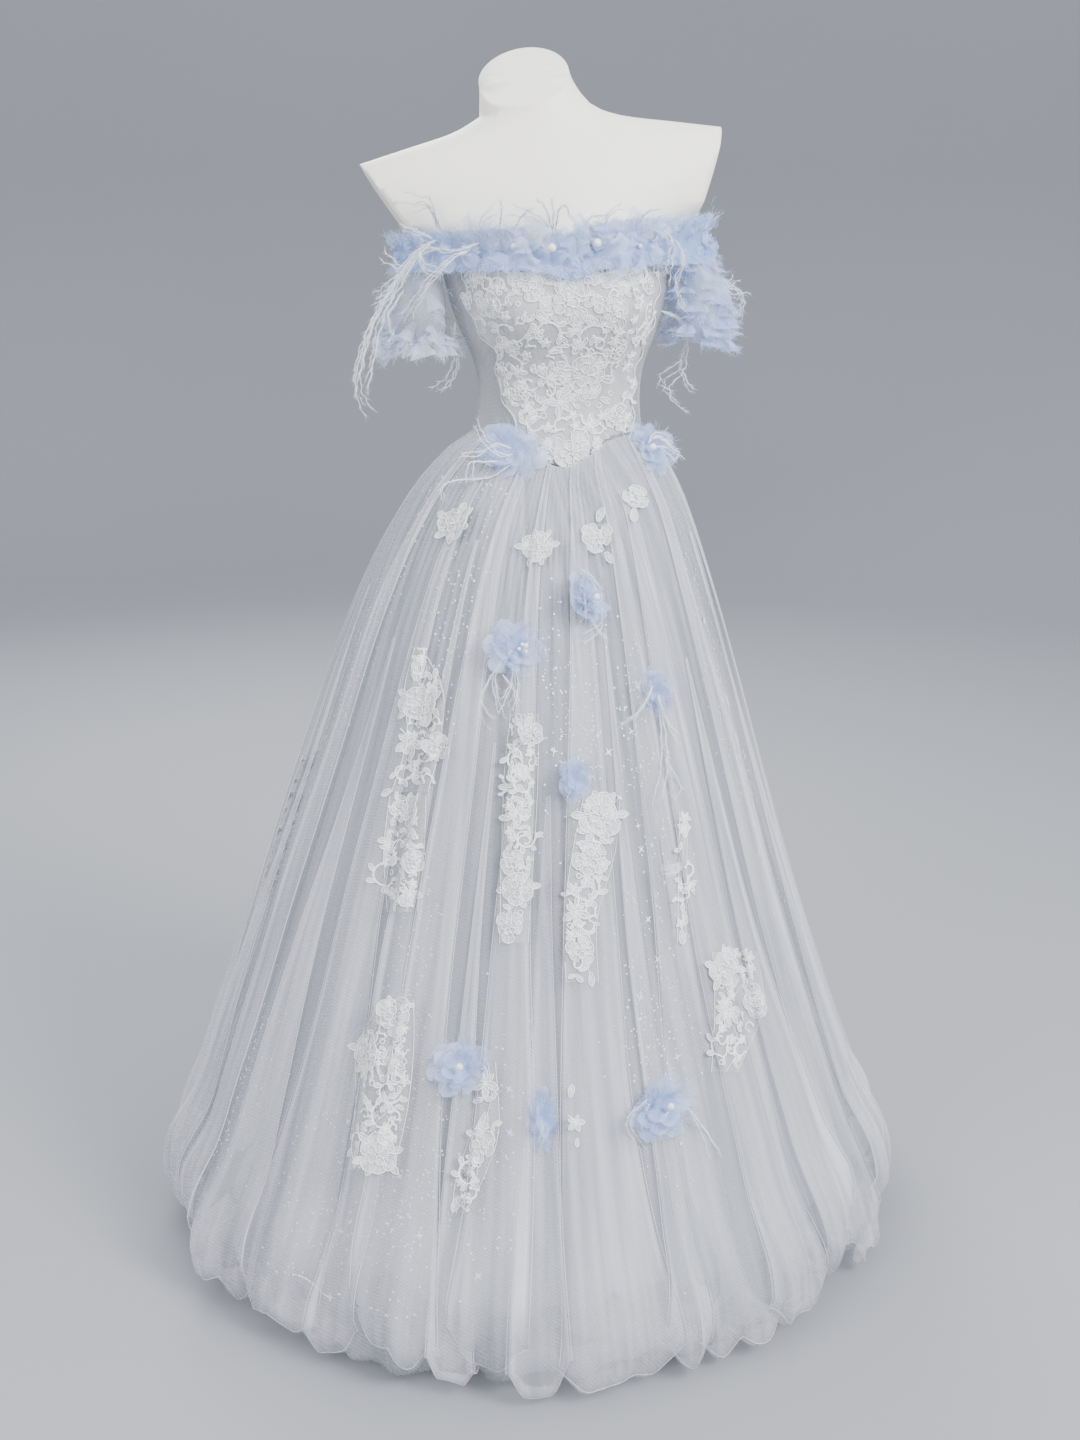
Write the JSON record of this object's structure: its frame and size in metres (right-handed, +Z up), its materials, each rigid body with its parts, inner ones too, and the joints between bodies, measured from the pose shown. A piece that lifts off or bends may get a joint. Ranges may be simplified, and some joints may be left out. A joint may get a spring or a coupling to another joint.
{
  "type": "off-shoulder prom dress on a limbless dress form with a stand",
  "caption": "Off-shoulder prom dress with a lace bodice and a full gathered tulle skirt, worn by a limbless dress form on a round-based stand.",
  "frame": {"origin": "middle of the stand base's underside, on the floor", "axes": "+Z up the figure, -Y the dress's front, +X the dress's left side"},
  "size_m": [0.9899, 1.0482, 1.5374],
  "materials": {
    "form_cover": "matt warm off-white cover",
    "stand_metal": "satin steel",
    "bodice_cloth": "grey-white tulle over a lining",
    "lace": "white corded lace",
    "skirt_tulle": "sheer grey-lavender tulle",
    "underskirt": "soft grey-lavender lining with glitter",
    "blue_tulle": "light blue crinkled tulle",
    "feather": "pale blue-white feather strands"
  },
  "bodies": {
    "root": {"form_torso": "form_cover", "stand_base": "stand_metal", "stand_pole": "stand_metal", "stand_collar": "stand_metal", "back_placket": "bodice_cloth", "skirt_overlay": "skirt_tulle", "underskirt": "underskirt", "sleeve_right": "skirt_tulle", "sleeve_left": "blue_tulle", "neck_ruffle": "blue_tulle", "bodice_centre_front": "bodice_cloth", "bodice_side_front_left": "bodice_cloth", "bodice_side_back_left": "bodice_cloth", "bodice_back_left": "bodice_cloth", "bodice_back_right": "bodice_cloth", "bodice_side_back_right": "bodice_cloth", "bodice_side_front_right": "bodice_cloth", "bloom_waist_right": "blue_tulle", "bloom_waist_left": "blue_tulle", "bloom_skirt_a": "blue_tulle", "bloom_skirt_b": "blue_tulle", "bloom_skirt_c": "blue_tulle", "bloom_skirt_d": "blue_tulle", "bloom_skirt_e": "blue_tulle", "bloom_skirt_f": "blue_tulle", "bloom_skirt_g": "blue_tulle", "bloom_skirt_h": "blue_tulle", "bloom_skirt_i": "blue_tulle", "tuft_waist_right": "feather", "tuft_waist_left": "feather", "tuft_skirt_a": "feather", "tuft_skirt_b": "feather", "tuft_skirt_c": "feather", "tuft_skirt_g": "feather", "tuft_skirt_h": "feather", "tuft_sleeve_right": "feather", "tuft_sleeve_left": "feather", "lace_front": "lace", "lace_flower_a": "lace", "lace_flower_b": "lace", "lace_flower_c": "lace", "lace_flower_d": "lace", "lace_spray_a": "lace", "lace_spray_b": "lace", "lace_spray_c": "lace", "lace_spray_d": "lace", "lace_spray_e": "lace", "lace_spray_f": "lace", "lace_spray_g": "lace", "lace_spray_h": "lace", "lace_spray_i": "lace", "lace_spray_j": "lace", "lace_spray_k": "lace"}
  },
  "joints": []
}
